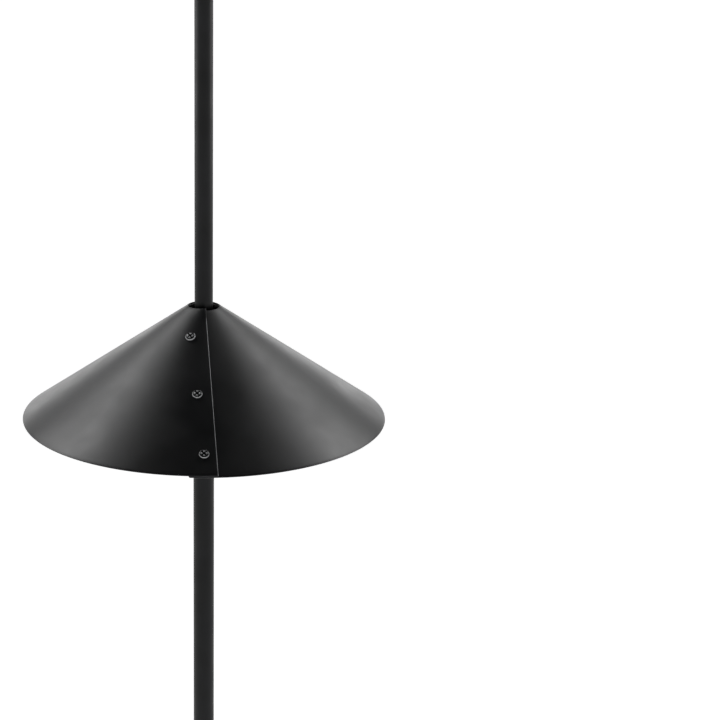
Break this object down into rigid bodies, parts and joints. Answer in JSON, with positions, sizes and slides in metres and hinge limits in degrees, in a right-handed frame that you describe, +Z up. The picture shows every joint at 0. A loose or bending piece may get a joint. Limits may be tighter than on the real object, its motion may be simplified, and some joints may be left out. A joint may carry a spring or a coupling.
{
  "type": "squirrel baffle on bird feeder pole",
  "caption": "Black cone baffle that spins and tilts on a telescoping garden pole with a pronged ground base and a flange for a bird feeder.",
  "frame": {"origin": "on the pole's axis at ground level, level with the underside of the step plate", "axes": "+Z up along the pole, -Y towards the seam of the baffle, +X to the right of it"},
  "size_m": [0.4414, 0.4417, 2.0312],
  "materials": {
    "powder_coat": "black satin powder coat on rolled sheet steel",
    "pole_enamel": "black satin enamel on steel tube",
    "black_screw": "black plated pan-head screws, edges worn bright",
    "zinc_steel": "zinc-plated nuts and washers",
    "black_nylon": "moulded glass-filled nylon, fine texture",
    "liner_rubber": "black rubber grip liner"
  },
  "bodies": {
    "lower_pole": {"step_plate": "pole_enamel", "base_socket": "pole_enamel", "gusset_1": "pole_enamel", "gusset_2": "pole_enamel", "gusset_3": "pole_enamel", "gusset_4": "pole_enamel", "prong_1": "pole_enamel", "prong_2": "pole_enamel", "prong_3": "pole_enamel", "prong_4": "pole_enamel", "ground_spike": "zinc_steel", "base_lock_nut": "zinc_steel", "base_lock_screw": "black_screw", "lower_pole": "pole_enamel", "pole_ferrule": "black_nylon", "lock_boss": "pole_enamel"},
    "lock_knob": {"lock_screw": "zinc_steel", "lock_knob": "black_nylon"},
    "upper_pole": {"upper_pole": "pole_enamel", "flange_plate": "pole_enamel", "flange_socket": "pole_enamel", "flange_lock_nut": "zinc_steel", "flange_lock_screw": "black_screw"},
    "collar": {"collar_front": "black_nylon", "collar_rear": "black_nylon", "liner_front": "liner_rubber", "liner_rear": "liner_rubber", "collar_screw_left": "black_screw", "collar_screw_right": "black_screw", "collar_nut_left": "zinc_steel", "collar_nut_right": "zinc_steel"},
    "hub": {"hub_right": "black_nylon", "hub_left": "black_nylon", "hub_screw_front": "black_screw", "hub_screw_rear": "black_screw"},
    "baffle": {"baffle_cone": "powder_coat", "seam_screw_1": "black_screw", "seam_washer_1": "zinc_steel", "seam_nut_1": "zinc_steel", "seam_screw_2": "black_screw", "seam_washer_2": "zinc_steel", "seam_nut_2": "zinc_steel", "seam_screw_3": "black_screw", "seam_washer_3": "zinc_steel", "seam_nut_3": "zinc_steel"}
  },
  "joints": [
    {"name": "telescope", "type": "slide", "parent": "lower_pole", "child": "upper_pole", "axis": [0, 0, 1], "range_m": [0, 0.28]},
    {"name": "lock_turn", "type": "hinge", "parent": "lower_pole", "child": "lock_knob", "pos_m": [0.02, 0, 1.184], "axis": [1, 0, 0], "range_deg": [0, 360]},
    {"name": "collar_height", "type": "slide", "parent": "upper_pole", "child": "collar", "axis": [0, 0, 1], "range_m": [0, 0.45]},
    {"name": "baffle_spin", "type": "hinge", "parent": "collar", "child": "hub", "pos_m": [0, 0, 1.2476], "axis": [0, 0, 1], "continuous": true},
    {"name": "baffle_tilt", "type": "hinge", "parent": "hub", "child": "baffle", "pos_m": [0, 0, 1.2476], "axis": [0, 1, 0], "range_deg": [-7.5, 7.5]}
  ]
}
